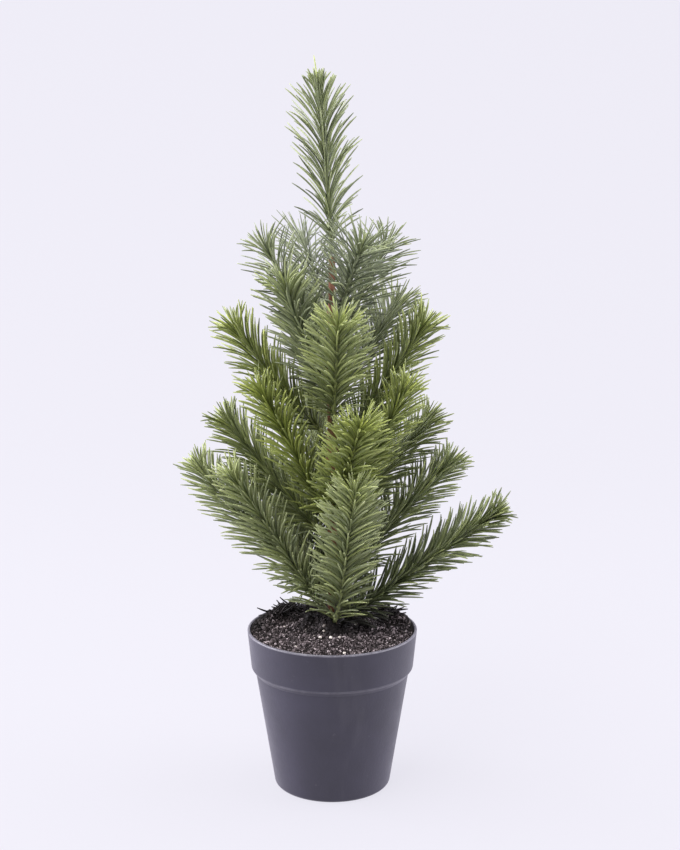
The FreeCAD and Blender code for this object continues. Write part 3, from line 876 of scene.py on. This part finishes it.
def make_soil(material):
    """A crust of grit: a lumpy surface, loose grains of many sizes sunk into it, and fallen needles."""
    rng = np.random.default_rng(7)
    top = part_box("soil_fill")[1].z
    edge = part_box("soil_fill")[1].x - 0.2 * MM
    grain, grain_faces = icosahedron()
    parts = MeshParts()
    soil_sheet(parts, edge, top)
    shapes, colours = [], []
    for _ in range(SOIL_GRAINS):
        distance = (edge - 0.5 * MM) * math.sqrt(rng.uniform(0.004, 1.0))
        angle = rng.uniform(0, 2 * math.pi)
        x, y = distance * math.cos(angle), distance * math.sin(angle)
        dark = soil_darkness(x, y)
        size = float(np.clip(rng.lognormal(-0.64, 0.40), 0.26, 1.6)) * (1.0 + 0.6 * dark) * MM
        if distance > edge - 2.5 * MM:
            size = min(size, 0.65 * MM)
        lumps = grain * (1.0 + rng.uniform(-0.30, 0.30, (12, 1)))
        lumps = lumps * (size * rng.uniform(0.55, 1.0, 3))
        tilt, spin = rng.uniform(0, 2 * math.pi, 2)
        lumps = lumps @ rotation(0, tilt) @ rotation(2, spin)
        z = soil_height(x, y, top) + rng.uniform(-0.15, 0.55) * size
        pale = 0.6 * float(rng.uniform() < 0.006)
        shapes.append(lumps + np.array([x, y, z]))
        patch = noise.noise(Vector((x, y, 0)) / (3.2 * MM))
        tone = clipped(float(rng.beta(0.85, 1.35)) + 0.28 * patch)
        colours.append((tone, pale, dark * (1 - pale), rng.uniform()))
    parts.add(np.array(shapes), [grain_faces], np.array(colours)[:, None, :])
    add_fallen_needles(parts, rng, top)
    piece = parts.object("soil_grit", material, "grit", smooth=False)
    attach(piece, "root")


GRAIN_GAP = 0.7 * MM         # points of one grain lie closer together than this


def loose_groups(points):
    """Groups of neighbouring points: one for each separate grain of a node."""
    left = list(range(len(points)))
    groups = []
    while left:
        group, left = [left[0]], left[1:]
        for member in group:
            near = [other for other in left
                    if np.linalg.norm(points[other] - points[member]) < GRAIN_GAP]
            group += near
            left = [other for other in left if other not in near]
        groups.append(points[group])
    return groups


def make_perlite(material):
    """Pale grains of expanded mineral, each an irregular pitted lump."""
    parts = MeshParts()
    ball, ball_faces = subdivided_ball(2)
    for number, group in enumerate(loose_groups(mesh_points("perlite"))):
        middle = group.mean(axis=0)
        size = 0.5 * (group.max(axis=0) - group.min(axis=0)).mean()
        lumps = []
        for point in ball:
            spot = Vector(point) * 1.7 + Vector((number * 5.1, 0, 0))
            bulge = 1.0 + 0.30 * noise.noise(spot) + 0.10 * noise.noise(spot * 3.0)
            lumps.append(point * bulge * size)
        lumps = np.array(lumps) * np.array([1.0, 0.85, 0.75]) @ rotation(2, number * 1.3)
        floor = soil_height(middle[0], middle[1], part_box("soil_fill")[1].z)
        place = np.array([middle[0], middle[1], floor + 0.55 * size])
        parts.add(lumps + place, [ball_faces], GREY)
    piece = parts.object("perlite_grains", material, "grain")
    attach(piece, "root")
    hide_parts("perlite")


def subdivided_ball(rounds):
    """Points and faces of an icosahedron split a few times and pushed out to radius 1."""
    points, faces = icosahedron()
    points = [np.array(point) for point in points]
    for _ in range(rounds):
        middles, split = {}, []
        for a, b, c in faces:
            corners = []
            for pair in ((a, b), (b, c), (c, a)):
                key = tuple(sorted(pair))
                if key not in middles:
                    middles[key] = len(points)
                    points.append(unit(points[pair[0]] + points[pair[1]]))
                corners.append(middles[key])
            ab, bc, ca = corners
            split += [(a, ab, ca), (b, bc, ab), (c, ca, bc), (ab, bc, ca)]
        faces = split
    return np.array(points), faces


# ---------------------------------------------------------------- stage

# The studio lights: place, size, power in watts and colour. All of them aim at the tree's middle.
LIGHT_TARGET = (0.0, 0.0, 0.22)
LIGHTS = {
    "key": ((-0.7, -1.0, 1.8), (1.0, 1.0), 34.0, (1.0, 0.985, 0.965)),
    "left_panel": ((-1.7, 0.1, 0.6), (1.6, 1.4), 60.0, (0.95, 0.94, 1.0)),
    "right_panel": ((1.7, 0.1, 0.6), (1.6, 1.4), 46.0, (0.95, 0.94, 1.0)),
    "top": ((0.0, 0.2, 1.9), (1.6, 1.2), 38.0, (1.0, 0.995, 0.98)),
}


def look_at(thing, target):
    direction = Vector(target) - thing.location
    thing.rotation_euler = direction.to_track_quat("-Z", "Y").to_euler()


def make_camera():
    """The photo's camera, worked out from the ellipses of the pot's lip, step and base."""
    camera_data = bpy.data.cameras.new("camera")
    camera_data.sensor_width = 36.0
    camera_data.lens = 63.4
    camera = bpy.data.objects.new("camera", camera_data)
    camera.location = (0.0, -0.895, 0.402)
    camera.rotation_euler = (math.radians(90 - 10.9), 0.0, math.radians(-0.31))
    bpy.context.scene.collection.objects.link(camera)
    bpy.context.scene.camera = camera


def area_light(name, place, size, power, colour):
    light = bpy.data.lights.new(name, "AREA")
    light.shape = "RECTANGLE"
    light.size, light.size_y = size
    light.energy = power
    light.color = colour
    lamp = bpy.data.objects.new(name, light)
    lamp.location = place
    look_at(lamp, LIGHT_TARGET)
    bpy.context.scene.collection.objects.link(lamp)


def make_stage():
    """A pale floor that curves up into a backdrop, a dim even sky and large soft lights."""
    width, front, back, height, bend = 10.0, -5.0, 1.6, 3.2, 0.9
    profile = [(front, 0.0), (back - bend, 0.0)]
    for step in range(1, 13):
        angle = math.radians(7.5 * step)
        profile.append((back - bend + bend * math.sin(angle), bend - bend * math.cos(angle)))
    profile.append((back, height))
    points = [(side * width / 2, y, z) for y, z in profile for side in (-1, 1)]
    faces = [(2 * k, 2 * k + 1, 2 * k + 3, 2 * k + 2) for k in range(len(profile) - 1)]
    floor = make_object("backdrop", points, faces, [], stage_material())

    world = bpy.data.worlds.new("studio")
    world.use_nodes = True
    background = world.node_tree.nodes["Background"]
    background.inputs["Color"].default_value = (0.93, 0.92, 1.0, 1.0)
    background.inputs["Strength"].default_value = 0.32
    bpy.context.scene.world = world
    for light_name, settings in LIGHTS.items():
        area_light(light_name, *settings)
    bpy.context.scene.view_settings.view_transform = "Standard"
    bpy.context.scene.view_settings.look = "None"


# ---------------------------------------------------------------- everything

def dress_cad_nodes(materials):
    """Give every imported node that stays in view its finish."""
    for item in frame["record"]["subparts"]:
        mesh = frame["nodes"][item["node"]].data
        mesh.materials.clear()
        mesh.materials.append(materials[item["material_slot"]])


materials = {
    "pot_plastic": pot_material(),
    "cement": cement_material(),
    "soil": grit_material(),
    "perlite": perlite_material(),
    "steel_wire": wire_material(),
    "paper_tape": tape_material(),
    "needle_plastic": needle_material(),
}
make_camera()
make_stage()
dress_cad_nodes(materials)
make_trunk_tape(materials["paper_tape"])
make_soil(materials["soil"])
make_perlite(materials["perlite"])
for number, name in enumerate(SPRIG_LOOKS):
    make_sprig(name, number, materials["needle_plastic"])
